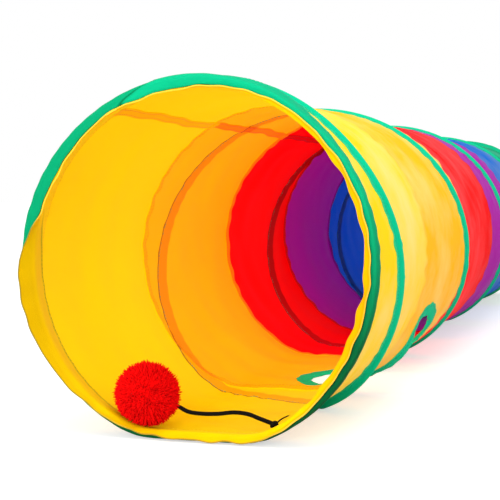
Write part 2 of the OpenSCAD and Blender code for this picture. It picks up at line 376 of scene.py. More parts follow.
def spline(controls, samples):
    """Catmull-Rom points through controls along the first axis."""
    controls = np.asarray(controls, float)
    last = len(controls) - 1
    points = []
    for t in np.linspace(0, last, samples):
        k = min(int(t), last - 1)
        f = t - k
        p0, p1, p2, p3 = (controls[min(max(k + d, 0), last)] for d in (-1, 0, 1, 2))
        points.append(
            0.5 * (2 * p1 + (p2 - p0) * f + (2 * p0 - 5 * p1 + 4 * p2 - p3) * f**2
                   + (3 * p1 - p0 - 3 * p2 + p3) * f**3)
        )
    return np.array(points)


def unit(vectors):
    return vectors / np.maximum(np.linalg.norm(vectors, axis=-1, keepdims=True), 1e-12)


def distances(path):
    """How far along a path each of its points is."""
    return np.append(0, np.cumsum(np.linalg.norm(np.diff(path, axis=0), axis=1)))


def round_tube(name, path, radius, sides, material, closed=False):
    """A round tube along a path of points. radius is one number or one for each point."""
    if closed:
        along = unit(np.roll(path, -1, 0) - np.roll(path, 1, 0))
    else:
        along = unit(np.gradient(path, axis=0))
    across = [unit(np.cross(along[0], [0.31, 0.2, 1.0]))]
    for direction in along[1:]:
        across.append(unit(across[-1] - direction * (across[-1] @ direction)))
    across = np.array(across)
    up = np.cross(along, across)
    turn = np.linspace(0, TAU, sides, endpoint=False)[None, :, None]
    width = np.broadcast_to(radius, len(path))[:, None, None]
    rings = path[:, None] + width * (across[:, None] * np.cos(turn) + up[:, None] * np.sin(turn))
    s = distances(path)
    uv = grid(np.append(s, s[-1] + MM), np.linspace(0, 1, sides + 1))
    return sweep(name, rings, material, uv, closed=closed, flip=True, sharp=80)


def out_and_back(out, back=None):
    """Rows of values along one face of a thin piece, and back along its other face."""
    back = out if back is None else back
    return np.concatenate([out, back[:, ::-1]], 1)


def folded_uv(along, across):
    """Map coordinates for the rings of a thin piece, the same on both of its faces."""
    return grid(along, np.concatenate([across, across[::-1], across[:1]]))


def path_normals(path):
    """Directions to one side of swept paths of (y, r) pairs, shape (steps, points, 2)."""
    along = unit(np.gradient(path, axis=1))
    return np.stack([-along[..., 1], along[..., 0]], -1)


def thick_rings(path, thickness):
    """Closed rings from swept paths of (y, r) pairs, thickened to one side."""
    return out_and_back(path, path + path_normals(path) * thickness)


def strands(name, points, sides, material):
    """Many short rods as one mesh. Each is four rings of points."""
    size = 4 * sides
    quads = np.array([
        [sides * k + q, sides * k + (q + 1) % sides, sides * (k + 1) + (q + 1) % sides, sides * (k + 1) + q]
        for k in range(3) for q in range(sides)
    ])
    starts = np.arange(0, len(points), size)
    faces = (starts[:, None, None] + quads).reshape(-1, 4).tolist()
    ring = np.arange(sides)
    for start in starts:
        faces += [(start + ring[::-1]).tolist(), (start + size - sides + ring).tolist()]
    return mesh_piece(name, points, faces, material)


STITCH_PITCH = 3 * MM
STITCH_LEN = 2.1 * MM
STITCH_R = 0.22 * MM
STITCH_SIDES = 5
# Where a stitch's rings are along it, and how wide they are.
STITCH_RINGS = [(-0.5, 0.35), (-0.32, 1.0), (0.32, 1.0), (0.5, 0.35)]


def stitches(name, rows, material):
    """Rows of thread stitches. A row is its points and the directions that they face."""
    turns = np.linspace(0, TAU, STITCH_SIDES, endpoint=False)
    points = []
    for line, normals in rows:
        s = distances(line)
        middles = np.arange(STITCH_PITCH / 2, s[-1] - STITCH_PITCH / 2, STITCH_PITCH)
        centre, ahead, up = (
            np.stack([np.interp(at, s, values[:, k]) for k in range(3)], -1)
            for at, values in ((middles, line), (middles + 0.2 * MM, line), (middles, normals))
        )
        along, up = unit(ahead - centre), unit(up)
        side = unit(np.cross(along, up))
        rings = [
            centre + along * (x * STITCH_LEN)
            + (side * math.cos(t) + up * math.sin(t)) * (STITCH_R * width)
            for x, width in STITCH_RINGS for t in turns
        ]
        points.append(np.stack(rings, 1).reshape(-1, 3))
    return strands(name, np.concatenate(points), STITCH_SIDES, material)


# ---- Materials ----


def add(tree, kind, inputs=(), **settings):
    """A shader node of that kind, with values or links for its inputs."""
    made = tree.nodes.new("ShaderNode" + kind)
    for key, value in settings.items():
        setattr(made, key, value)
    for socket, value in dict(inputs).items():
        if isinstance(value, bpy.types.NodeSocket):
            tree.links.new(value, made.inputs[socket])
        else:
            made.inputs[socket].default_value = value
    return made


def calc(tree, operation, *values):
    return add(tree, "Math", dict(enumerate(values)), operation=operation).outputs[0]


def scaled(tree, value, by, plus):
    return calc(tree, "MULTIPLY_ADD", value, by, plus)


def linear(colour):
    """An sRGB colour of 0 to 255 as the renderer's linear one."""
    part = [c / 255 for c in colour]
    return tuple(c / 12.92 if c <= 0.04045 else ((c + 0.055) / 1.055) ** 2.4 for c in part) + (1,)


def mixed(tree, factor, a, b, mode="MIX"):
    node = add(tree, "Mix", {0: factor, 6: a, 7: b}, data_type="RGBA", blend_type=mode)
    return node.outputs[2]


def new_material(name):
    material = bpy.data.materials.new(name)
    material.use_nodes = True
    material.node_tree.nodes.clear()
    return material, material.node_tree


def cloth_map(tree):
    """The places round and across the cloth."""
    uv = add(tree, "UVMap", uv_map="cloth").outputs[0]
    return add(tree, "SeparateXYZ", {0: uv}).outputs


def weave(tree, pitch):
    """A plain weave over the map, from -1 to 1."""
    rows = [calc(tree, "SINE", calc(tree, "MULTIPLY", at, TAU / pitch)) for at in cloth_map(tree)[:2]]
    return calc(tree, "MULTIPLY", *rows)


def noise(tree, scale, detail=3, roughness=0.55):
    where = add(tree, "TexCoord").outputs["Object"]
    return add(
        tree, "TexNoise",
        {"Vector": where, "Scale": scale, "Detail": detail, "Roughness": roughness},
    ).outputs["Fac"]


def near_helix(tree):
    """Where a panel's face is over the helix's tape, and where over the tape's front edge: the masks of the
    tape's painted shadow.
    """
    places = cloth_map(tree)
    along = scaled(tree, places[1], 1 / HELIX_PITCH, -HELIX_START / HELIX_PITCH - 0.25)
    turn = scaled(tree, places[0], 1 / (TAU * FABRIC_R), along)
    before = calc(tree, "FRACT", calc(tree, "ADD", turn, 0.5))
    away = scaled(tree, before, HELIX_PITCH / MM, -HELIX_PITCH / MM / 2)
    half = TAPE_HALF / MM
    band = add(tree, "MapRange", {0: calc(tree, "ABSOLUTE", away), 1: half + 0.4, 2: half - 0.4})
    edge = calc(tree, "ABSOLUTE", calc(tree, "ADD", away, half - 0.6))
    line = add(tree, "MapRange", {0: edge, 1: 1.5, 2: 0.7})
    return band.outputs[0], line.outputs[0]


def bumpy_skin(tree, skin, height, strength, depth):
    """A principled shader with a bump of a depth in millimetres, and the bump's normal."""
    relief = {"Height": height, "Strength": strength, "Distance": depth * MM}
    normal = add(tree, "Bump", relief).outputs[0]
    return add(tree, "BsdfPrincipled", {**skin, "Normal": normal}).outputs[0], normal


def cloth_material(
    name, colour, deep, through, pitch=0.9 * MM, roughness=0.6, sheen=0.02, edge=None, painted_sheen=None,
    band=None, glow=None,
):
    """Woven cloth that lets a share of the light through. colour is its face, deep its shade between
    the threads and in the dips, edge the paler tone of a tape's or a hem's edges, partly wear and
    partly a painted highlight where the edge catches the light, and glow the light that a tape lets
    by. Its colour is multiplied by the mesh's tint, which holds painted shade. A panel's outer face
    is painted paler in patches, a painted sheen, and its inner face takes band, the tape's painted
    shadow, over the helix."""
    material, tree = new_material(name)
    threads = weave(tree, pitch)
    cloud = noise(tree, 16)
    lint = noise(tree, 420, 2, 0.7)
    tone = scaled(tree, threads, 0.07, scaled(tree, cloud, 0.5, 0.18))
    tone = scaled(tree, lint, 0.12, tone)
    face = mixed(tree, tone, linear(deep), linear(colour))
    # The edges' paler tone: partly wear, partly a painted highlight where the edge catches the light.
    if edge is not None:
        rim = add(tree, "MapRange", {0: cloth_map(tree)[1], 1: 0.86, 2: 1.0, 3: 0.0, 4: 0.6})
        face = mixed(tree, rim.outputs[0], face, linear(edge))
    tint = add(tree, "Attribute", attribute_name="tint")
    # Painted sheen: the outer face is paler in noisy patches, for the whitish reflection of the bright
    # surroundings.
    if painted_sheen is not None:
        outside = tint.outputs["Alpha"]
        sheen_patches = scaled(tree, noise(tree, 11, 4, 0.62), 3.2, -1.2)
        sheen_patches = calc(tree, "MULTIPLY", add(tree, "Clamp", {0: sheen_patches}).outputs[0], outside)
        face = mixed(tree, sheen_patches, face, linear(painted_sheen))
        inside = calc(tree, "SUBTRACT", 1.0, outside)
        # The helix tape's painted shadow on the inner face, and a painted dark line along its front edge.
        for where, shade in zip(near_helix(tree), (band, TAPE_EDGE_SHADOW)):
            face = mixed(tree, calc(tree, "MULTIPLY", where, inside), face, (*shade, 1), "MULTIPLY")
    face = mixed(tree, 1.0, face, tint.outputs[0], "MULTIPLY")
    height = scaled(tree, noise(tree, 95, 4, 0.6), 6.0, threads)
    skin, normal = bumpy_skin(tree, {
        "Base Color": face, "Roughness": scaled(tree, cloud, 0.16, roughness - 0.08),
        "Sheen Tint": face, "Sheen Weight": sheen, "Sheen Roughness": 0.45, "Specular IOR Level": 0.04,
    }, height, 0.35, 0.05)
    lit = face if glow is None else linear(glow)
    behind = add(tree, "BsdfTranslucent", {"Color": lit, "Normal": normal})
    mix = add(tree, "MixShader", {0: through, 1: skin, 2: behind.outputs[0]})
    add(tree, "OutputMaterial", {0: mix.outputs[0]})
    return material


def thread_material(name, colour, deep, sheen, scale=900, roughness=0.6):
    """Twisted thread, yarn or elastic braid."""
    material, tree = new_material(name)
    fine = noise(tree, scale, 3, 0.6)
    broad = noise(tree, 45, 2)
    tone = scaled(tree, broad, 0.5, scaled(tree, fine, 0.7, -0.1))
    skin, _ = bumpy_skin(tree, {
        "Base Color": mixed(tree, tone, linear(deep), linear(colour)), "Roughness": roughness,
        "Sheen Weight": sheen, "Sheen Roughness": 0.5, "Specular IOR Level": 0.12,
    }, fine, 0.5, 0.2)
    add(tree, "OutputMaterial", {0: skin})
    return material


def steel_material(name, colour, roughness, scratch_scale):
    """Drawn or pressed steel with fine scratches and a light tarnish."""
    material, tree = new_material(name)
    scratch = noise(tree, scratch_scale, 4, 0.7)
    tarnished = linear([c * 0.72 for c in colour])
    skin, _ = bumpy_skin(tree, {
        "Base Color": mixed(tree, noise(tree, 60, 3), linear(colour), tarnished), "Metallic": 1.0,
        "Roughness": scaled(tree, scratch, 0.2, roughness - 0.1),
    }, scratch, 0.2, 0.05)
    add(tree, "OutputMaterial", {0: skin})
    return material


def by_colour(*values):
    """Each panel's colour with its value."""
    return dict(zip(PANELS, values))


# Each fabric's face, its shade between the threads, and the paler tone painted in patches on its outer face
# as a painted sheen.
FABRICS = by_colour(
    ((255, 236, 6), (255, 224, 0), (255, 238, 146)),
    ((255, 216, 4), (255, 202, 0), (255, 234, 132)),
    ((255, 6, 4), (255, 0, 0), (255, 96, 100)),
    ((212, 44, 208), (196, 26, 190), (196, 96, 206)),
    ((0, 146, 240), (0, 122, 226), (120, 170, 226)),
    ((14, 196, 150), (4, 176, 128), (70, 206, 170)),
)
# The share of the light that goes through it.
THROUGH = by_colour(0.38, 0.34, 0.5, 0.5, 0.5, 0.5)
# What its colour is multiplied by, as painted shade: where it is doubled and lets less light through,
# and inside over the helix's tape, where the tape's shadow is painted.
DOUBLED_SHADE = by_colour(
    (1, 0.7, 0.3), (1, 0.5, 0.4), (0.7, 0.5, 0.5), (0.6, 0.5, 0.65), (0.5, 0.6, 0.7), (0.5, 0.75, 0.7)
)
BAND_SHADOWS = by_colour(
    (1, 0.76, 0.4), (1, 0.7, 0.4), (0.72, 0.5, 0.5), (0.7, 0.6, 0.7), (0.7, 0.7, 0.8), (0.7, 0.8, 0.8)
)
# The same for every fabric along the tape's front edge: a painted dark line of shade.
TAPE_EDGE_SHADOW = (0.5, 0.36, 0.3)
SEAM_THREADS = by_colour(
    (238, 150, 0), (236, 112, 0), (150, 0, 4), (72, 10, 72), (0, 30, 92), (0, 112, 80)
)
MATERIALS = {
    name: cloth_material(f"{name}_taffeta", face, deep, THROUGH[name], painted_sheen=painted_sheen, band=BAND_SHADOWS[name])
    for name, (face, deep, painted_sheen) in FABRICS.items()
}
HEMS = {
    name: cloth_material(f"{name}_hem", face, deep, through, sheen=sheen, edge=edge)
    for name, face, deep, through, sheen, edge in (
        ("yellow", (255, 230, 4), (255, 214, 0), 0.12, 0.02, (255, 240, 110)),
        ("green", (14, 196, 150), (4, 176, 128), 0.25, 0.06, (130, 236, 200)),
    )
}
TAPE = cloth_material(
    "green_tape", (10, 222, 168), (0, 196, 144), 0.24, pitch=1.1 * MM, roughness=0.65,
    edge=(70, 222, 170), glow=(150, 214, 120),
)
GREEN_THREAD = thread_material("green_thread", (40, 190, 145), (10, 150, 108), 0.2)
THREADS = {
    name: thread_material(f"{name}_thread", face, [c * 0.8 for c in face], 0.1)
    for name, face in SEAM_THREADS.items()
}
HEM_THREADS = {
    name: thread_material(f"{name}_hem_thread", face, [c * 0.9 for c in face], 0.05)
    for name, face in (("yellow", (250, 200, 0)), ("green", (10, 180, 134)))
}
YARN = thread_material("red_yarn", (250, 0, 0), (215, 0, 0), 0.0, 500, 0.95)
ELASTIC = thread_material("black_elastic", (6, 5, 5), (1, 1, 1), 0.0, 1500, 0.8)
STEEL = steel_material("spring_steel", (186, 188, 194), 0.34, 400)
FERRULE = steel_material("ferrule_steel", (205, 205, 205), 0.3, 700)

# ---- Toy ----


def make_elastic():
    """The S-shaped elastic from the anchor knot to the knot inside the pom-pom."""
    route = np.array(ELASTIC_ROUTE[::-1])
    inner = route[-1] + unit(route[-2] - route[-1]) * POM_KNOT_R
    points = spline(list(route[:-1]) + [inner], 49)
    curve = bpy.data.curves.new("elastic", "CURVE")
    curve.dimensions = "3D"
    curve.bevel_depth = ELASTIC_R
    curve.bevel_resolution = 3
    curve.use_fill_caps = True
    line = curve.splines.new("POLY")
    line.points.add(len(points) - 1)
    line.points.foreach_set("co", np.append(points, np.ones((len(points), 1)), 1).ravel())
    curve.materials.append(ELASTIC)
    piece = in_scene("elastic", curve)
    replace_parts(piece, "elastic_cord")
    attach(piece, "toy")


def knotted(name, path, radius, sides, closed=False):
    """A piece of the elastic or of its tail, at the anchor."""
    piece = round_tube(name, path, radius, sides, ELASTIC, closed)
    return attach(piece, "toy_swivel")


def make_anchor():
    """The tied knot at the elastic's end, its neck through the fabric, and its loose, frayed tail."""
    centre = np.array(KNOT_CENTRE)
    t = np.linspace(0, TAU, 72, endpoint=False)
    trefoil = [np.sin(t) + 2 * np.sin(2 * t), np.cos(t) - 2 * np.cos(2 * t), -1.6 * np.sin(3 * t)]
    knot = knotted("tied_knot", centre + np.stack(trefoil, -1) * 0.72 * MM, 1.25 * MM, 10, closed=True)
    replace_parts(knot, "anchor_knot")
    out = unit(centre * (1, 0, 1) - (0, 0, AXIS_Z))
    reach = np.array([0.4, 2, 3.9, 4.25, 4.7, 5.1, 5.2]) * MM
    widths = np.array([1, 0.95, 0.95, 1.5, 1.7, 1.35, 0.2]) * MM
    knotted("knot_neck", centre + reach[:, None] * out, widths, 14)
    path = spline([KNOT_CENTRE] + THREAD_ROUTE, 22)
    tail = knotted("knot_tail", path, np.linspace(0.75, 0.4, 22) * MM, 8)
    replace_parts(tail, "anchor_thread")
    rng = np.random.default_rng(7)
    for k in range(3):
        end = path[-1] + rng.normal(0, 1.0, 3) * MM + np.array([0.9, 0.4, 0.7]) * MM
        strand = spline([path[-2], path[-1], end], 5)
        knotted(f"tail_fray_{k + 1}", strand, np.linspace(0.2, 0.08, 5) * MM, 5)


def against_wall(points):
    """Yarn points, kept inside the tunnel, where the ball settles against its wall."""
    points = points + np.array(POM_REST)
    limit = FABRIC_R - WIRE_GAP - 3 * FABRIC_T
    x, z = points[..., 0], points[..., 2] - AXIS_Z
    shrink = np.minimum(limit / np.hypot(x, z), 1)
    z = np.maximum(z * shrink, SAG - limit)
    return np.stack([x * shrink, points[..., 1], z + AXIS_Z], -1)


YARN_COUNT = 4200
YARN_SIDES = 3
# Each strand's rings: the share of its reach, the width in millimetres, and the share of its bend.
YARN_RINGS = [(0.62, 0.5, 0.0), (0.8, 0.52, 0.25), (0.93, 0.42, 0.65), (1.0, 0.16, 1.0)]


def on_sphere(polar, turn):
    """Directions at an angle from the top and an angle round it."""
    return np.stack([np.cos(turn) * np.sin(polar), np.sin(turn) * np.sin(polar), np.cos(polar)], -1)


def make_pom():
    """A ball of cut yarn: thousands of short bent strands over a dense lumpy core."""
    rng = np.random.default_rng(11)
    k = np.arange(YARN_COUNT) + 0.5
    away = on_sphere(np.arccos(1 - 2 * k / YARN_COUNT), np.pi * (1 + 5**0.5) * k)
    away = unit(away + rng.normal(0, 0.045, away.shape))
    lean = rng.normal(0, 0.16, away.shape)
    reach = POM_R * (1 + rng.normal(0.0, 0.022, YARN_COUNT))
    side = unit(np.cross(away, rng.normal(0, 1, away.shape)))
    up = np.cross(away, side)
    rings = []
    for share, width, bend in YARN_RINGS:
        centre = away * (reach * share)[:, None] + lean * bend * 0.18 * POM_R
        for q in range(YARN_SIDES):
            angle = TAU * q / YARN_SIDES
            rings.append(centre + (side * math.cos(angle) + up * math.sin(angle)) * width * MM)
    points = against_wall(np.stack(rings, 1).reshape(-1, 3) + np.array(POM_CENTRE))
    yarn = strands("pom_yarn", points, YARN_SIDES, YARN)
    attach(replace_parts(yarn, "pom_pom"), "toy")

    rows, columns = 40, 60
    polar = np.linspace(0.02, np.pi - 0.02, rows)
    turn = np.linspace(0, TAU, columns, endpoint=False)
    p, t = np.meshgrid(polar, turn, indexing="ij")
    lumps = 0.83 + 0.02 * np.sin(p) * (np.sin(9 * t + 5 * p) + np.sin(11 * p - 4 * t))
    ball = POM_R * lumps[..., None] * on_sphere(p, t)
    uv = np.zeros((rows, columns + 1, 2))
    core = sweep("pom_core", against_wall(ball + np.array(POM_CENTRE)), YARN, uv, sharp=80)
    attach(core, "toy")


# ---- Panels ----


def turn_angles(spacing=2.5 * MM):
    """Angles once round the fabric, with a close pair at each side of the lap."""
    steps = [a * FABRIC_R for a in LAP_ANGLES]
    return stepped(0, TAU * FABRIC_R, spacing, steps)[:-1] / FABRIC_R


def panel_span(index):
    """Where a panel's cloth starts and ends, between the hems."""
    return max(index * PANEL_LEN, HEM_LEN), min((index + 1) * PANEL_LEN, LENGTH - HEM_LEN)


def in_lap(angle):
    return (angle > LAP_ANGLES[0]) & (angle < LAP_ANGLES[1])


def once_round(angle, radius):
    """Distances round the tunnel, closed by the whole way round."""
    return np.append(angle, TAU) * radius


def hole_distance(angle, y):
    """Distance over the cloth from the peephole's middle."""
    away = (angle - HOLE_ANGLE + math.pi) % TAU - math.pi
    return np.hypot(y - HOLE_Y, FABRIC_R * away)


def make_panel(index):
    """A panel's cloth, doubled at the lengthwise lap and in the allowance before its rear seam."""
    colour = PANELS[index]
    low, high = panel_span(index)
    allowance = (index + 1) * PANEL_LEN - SEAM_LAP
    angle, y = turn_angles(), stepped(low, high, 3 * MM, [allowance] if allowance < high else [])
    a, d = np.meshgrid(angle, y, indexing="ij")
    kept = np.ones((len(angle), len(y) - 1), bool)
    if colour == "amber":
        middle = hole_distance(a, d)
        middle = middle + np.roll(middle, -1, 0)
        kept = (middle[:, :-1] + middle[:, 1:]) / 4 > HOLE_R + 2 * MM
    layers = in_lap(a) * 1.0 + (d > allowance)
    radius = fabric_r(a, d)
    turns, places = a + lap_turn(a, d), d + seam_shift(a, d)
    outer = place(radius, turns, places)
    inner = place(radius - FABRIC_T * (1 + layers), turns, places)
    # Painted shade where the cloth is doubled and lets less light through.
    tint = 1 - np.minimum(layers, 1)[..., None] * (1 - np.array(DOUBLED_SHADE[colour]))
    panel = closed_shell(
        f"{colour}_cloth", outer, inner, MATERIALS[colour],
        grid(once_round(angle, FABRIC_R), y), tint, kept,
    )
    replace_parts(panel, f"{colour}_panel")
    ride_and_squash(panel, index)
    return panel


def ride_and_squash(piece, index):
    """Puts a piece on its panel's body, with a mesh of its own."""
    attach(piece, BODIES[index])
    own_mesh(piece)


# ---- Mouths ----

# Round the mouth, as lists of (degrees, millimetres): the lip's distance from the axis, how deep the
# hem rolls in behind it, how far the hem's neck hangs slack inside the wire, how far the lip reaches
# forward, and how far the loosely rolled tape stands out from the wire's circle.
LIP = [
    (0, 120), (24, 121), (48, 121.8), (58, 122.6), (72, 121.6), (84, 120.4), (96, 118.2), (112, 117.8),
    (119, 119.6), (130, 118.2), (146, 116.4), (154, 116.2), (162, 117.2), (168, 120), (174, 123.6),
    (179, 125.4), (184, 125.6), (200, 125.2), (214, 125), (224, 124.4), (231, 123), (240, 122.2),
    (249, 120.8), (257, 121.8), (264, 123.2), (276, 123.4), (296, 123.4), (306, 122.6), (313, 121.6),
    (320, 120.6), (336, 119.6), (350, 119.6), (360, 120),
]
ROLL_IN = [(0, 1.2), (48, 0.8), (75, 0.3), (165, 0.3), (185, 0), (300, 0), (340, 0.8), (360, 1.2)]
SLACK = [(0, 4), (24, 3), (56, 1), (72, 0), (302, 0), (318, 3), (336, 5), (350, 5), (360, 4)]
FORWARD = [
    (0, 0.2), (162, 0.2), (171, 2), (179, 6.2), (188, 8), (200, 7.6), (210, 4.2), (221, 1.6), (231, 0.6),
    (246, 1), (262, 2.4), (300, 2.4), (312, 1.2), (324, 0.2), (360, 0.2),
]
SWELL = [
    (0, 0), (48, 0.2), (60, 1.8), (70, 2.8), (90, 2.9), (110, 2.4), (130, 2.3), (150, 2.8), (168, 3.4),
    (184, 3.2), (200, 2.6), (212, 0.8), (222, 0), (360, 0),
]
# How far the hem's stitched turning is from the front, where it shows inside the mouth.
TURNING_AT = [(0, 18), (160, 7), (168, 13), (176, 18.4), (188, 19.6), (236, 18), (360, 18)]
# As lists of (degrees, share): how much of the turning shows inside the mouth, where the hem's brink
# lies on the ground, and how bright the tape is painted round the roll, as painted shade that is
# darkest low down, where the roll faces the ground.
TURNING = [(0, 0), (161, 0), (169, 1), (226, 1), (250, 0.15), (290, 0.1), (330, 0), (360, 0)]
LOW = [(0, 0), (236, 0), (250, 1), (292, 1), (304, 0), (360, 0)]
TAPE_SHADE = [
    (0, 0.45), (25, 0.7), (60, 0.78), (106, 0.78), (114, 0.58), (200, 0.5), (222, 0.4), (240, 0.14),
    (300, 0.13), (335, 0.18), (360, 0.45),
]


def around(table, angle):
    """A table's number at each angle."""
    degrees, values = np.array(table, float).T
    return np.interp(np.degrees(angle) % 360, degrees, values)


def from_front(y, rear):
    """The distance from the front mouth of a place that far into one mouth."""
    return LENGTH - y if rear else y


def swept(controls, samples):
    """Splines of (y, r) pairs, one at each angle. A control is a number or one for each angle."""
    pairs = [np.stack(np.broadcast_arrays(y, r), -1) for y, r in controls]
    return np.moveaxis(spline(pairs, samples), 0, 1)


def lip_r(angle):
    return around(LIP, angle) * MM + 0.3 * MM * ripples(angle, 31, (16, 46), 14)


def hem_base(angle, rear):
    """The radius at which a mouth's hem goes on from its panel."""
    return fabric_r(angle, np.full(angle.shape, from_front(HEM_LEN, rear)))


def hem_paths(angle, rear):
    """The hem's outer face round a mouth as (y, r) pairs, from the panel to the raw lip."""
    flutter = ripples(angle, 32, (16, 46), 14) * 0.15 * MM
    lip, forward = lip_r(angle), around(FORWARD, angle) * MM
    slack = 0 if rear else around(SLACK, angle) * MM
    neck = FABRIC_R - WIRE_GAP - slack * (1 + 0.13 * ripples(angle, 35, (14, 40)))
    base = hem_base(angle, rear)
    controls = [
        (HEM_LEN, base), (16 * MM, base + 0.15 * (neck - base)), (12 * MM, base + 0.55 * (neck - base)),
        (8.5 * MM, neck + 0.1 * MM),
    ]
    for share, rise in ((0, 0), (0.28, 0.2), (0.5, 0.46), (0.75, 0.76), (0.92, 0.95), (1, 1)):
        dip = around(ROLL_IN, angle) * MM * math.sin(math.pi * share)
        controls.append((
            HOOP_Y + share * (flutter - 0.2 * MM - forward - HOOP_Y),
            neck + rise * (lip - neck) - dip * (lip < neck),
        ))
    return swept(controls, 37)


def hem_shade_tint(angle, path, share):
    """The yellow hem's painted shade, as a tint at (y, r) points of its path, which share says how far
    along.
    """
    y, radius = path[..., 0], path[..., 1]
    turning, low, slack = (around(table, angle)[:, None] for table in (TURNING, LOW, SLACK))
    slack = slack / max(depth for _, depth in SLACK)
    edge = around(TURNING_AT, angle)[:, None] * MM
    inside = smooth_step(edge + 0.4 * MM, edge - 0.4 * MM, y) * turning
    line = np.exp(-((y - edge) / (1.1 * MM)) ** 2) * turning
    hollow = smooth_step(12 * MM, 6 * MM, y) * slack
    rim = smooth_step(0.66, 0.8, share)[None] * (1 - turning) * (1 - low) * (1 - 0.6 * slack)
    brink = smooth_step(0.955, 0.985, share)[None] * np.maximum(turning, low)
    front = smooth_step(9 * MM, 0, y)
    flare = smooth_step(FABRIC_R - 1.2 * MM, FABRIC_R + 1.2 * MM, radius) * (1 - turning)
    tint = np.ones((*inside.shape, 3))
    # Painted shade, each a tint with its mask: the turning inside the mouth, where the doubled cloth and
    # the tape behind it let less light through, darker near the front; low down near the front, where the
    # hem lies on the ground; a dark line along the turning's fold, partly its stitched edge; the slack
    # hollow behind the lip; the lip's rim, turned away from the light; the flare beside it, painted a
    # little darker; and a dark outline along the brink.
    for amount, colour in (
        (inside, (0.88, 0.86, 0.5)), (inside * front, (0.74, 0.66, 0.8)),
        (low * front, (1, 0.84, 0.6)), (line, (0.3, 0.5, 0.3)), (hollow, (1, 0.62, 0.4)),
        (rim, (1, 0.68, 0.4)), (flare * (1 - rim), (1, 0.93, 0.85)), (brink, (0.45, 0.45, 0.4)),
    ):
        tint = tint * (1 - amount[..., None] * (1 - np.array(colour)))
    return tint


def sheared(path, angle, slant):
    """The paths' surface met at angles that slant along each path."""
    points = [
        [np.interp(angle + slant[:, k], angle, path[:, k, c], period=TAU) for c in (0, 1)]
        for k in range(path.shape[1])
    ]
    return np.moveaxis(np.array(points), (0, 1, 2), (1, 2, 0))


def roll_paths(angle, lift, rear):
    """The green tape's outer face round a mouth as (y, r) pairs: from its outside edge forwards over
    the wire, round the front, and back under the hem."""
    hem = hem_paths(angle, rear)
    crest = TUNNEL_R - 0.15 * MM + around(SWELL, angle) * MM
    hidden = [
        np.array([np.interp(-y, -row[:, 0], row[:, 1]) for row in hem]) + 0.7 * MM
        for y in (1.5 * MM, 4.2 * MM, 9 * MM, 13 * MM)
    ]
    inner = np.maximum(np.minimum(lip_r(angle) - 0.2 * MM, TUNNEL_R - 4.7 * MM), hidden[0])
    width = crest - inner
    crease = ripples(angle, 33, (20, 64)) * 0.12 * MM
    slack = ripples(angle, 34, (5, 22), 10) * 0.3 * MM
    base = hem_base(angle, rear)
    return swept([
        (HEM_LEN + slack, base + TAPE_RISE + lift),
        (17 * MM + slack, base + 0.8 * MM + lift),
        (13 * MM, (base + crest) / 2 + 0.8 * lift + crease),
        (9 * MM, crest - 0.6 * MM + crease),
        (5.5 * MM, crest + np.minimum(crease, 0)),
        (2.2 * MM, crest - 0.9 * MM + crease),
        (1.0 * MM - crease, crest - 0.28 * width - 0.2 * MM),
        (0.9 * MM - crease, crest - 0.62 * width),
        (1.5 * MM, inner),
        (4.2 * MM, hidden[1]),
        (9 * MM, hidden[2]),
        (13 * MM, hidden[3]),
    ], 45)


def tape_lift(angle, rear):
    """How far the hoop's tape is lifted where it goes over the start or end of the helix."""
    away = (HELIX_TURNS - helix_turn(angle)) % 1 if rear else helix_turn(angle)
    away = np.where(away > 0.5, away - 1, away)
    return np.interp(away, np.array([-1, 0, 1, 2, 3.4, 5]) / 48, [0, 1.2, 2.4, 2.6, 1.8, 0]) * MM


def make_hem(rear):
    """A mouth's hem, of doubled cloth that goes over the wire and out to its raw lip."""
    side, colour = ("rear", "green") if rear else ("front", "yellow")
    angle = turn_angles(2 * MM)
    path = hem_paths(angle, rear)
    share = np.linspace(0, 1, path.shape[1])
    lap = in_lap(angle)[:, None, None]
    rings = thick_rings(path, FABRIC_T * (2 + lap) * np.linspace(1, 0.75, len(share))[:, None])
    turns = angle[:, None] + out_and_back(lap_turn(angle[:, None], from_front(path[..., 0], rear)))
    points = place(rings[..., 1], turns, from_front(rings[..., 0], rear))
    # The yellow hem's painted shade, and painted shade where the lap doubles the cloth.
    tint = np.ones((*path.shape[:2], 3)) if rear else hem_shade_tint(angle, path, share)
    lap_tint = np.where(lap, DOUBLED_SHADE[colour], 1.0)
    tint = tint * (1 - (path[..., :1] > 9 * MM) * (1 - lap_tint))
    hem = sweep(
        f"{side}_hem", points, HEMS[colour],
        folded_uv(once_round(angle, FABRIC_R), share ** 8), closed=True, flip=not rear,
        tint=out_and_back(tint),
    )
    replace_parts(hem, f"{colour}_panel")
    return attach(hem, f"{side}_mouth")


# The tape round a mouth is one length whose end laps slantwise over its start.
TAPE_END = math.radians(109.4)
TAPE_OVERLAP = math.radians(24)
TAPE_SLANT = math.radians(13)
# Painted shadow and grime along the step where the tape's end laps over its start.
TAPE_JOIN_SHADOW_AND_GRIME = (0.2, 0.34, 0.26)


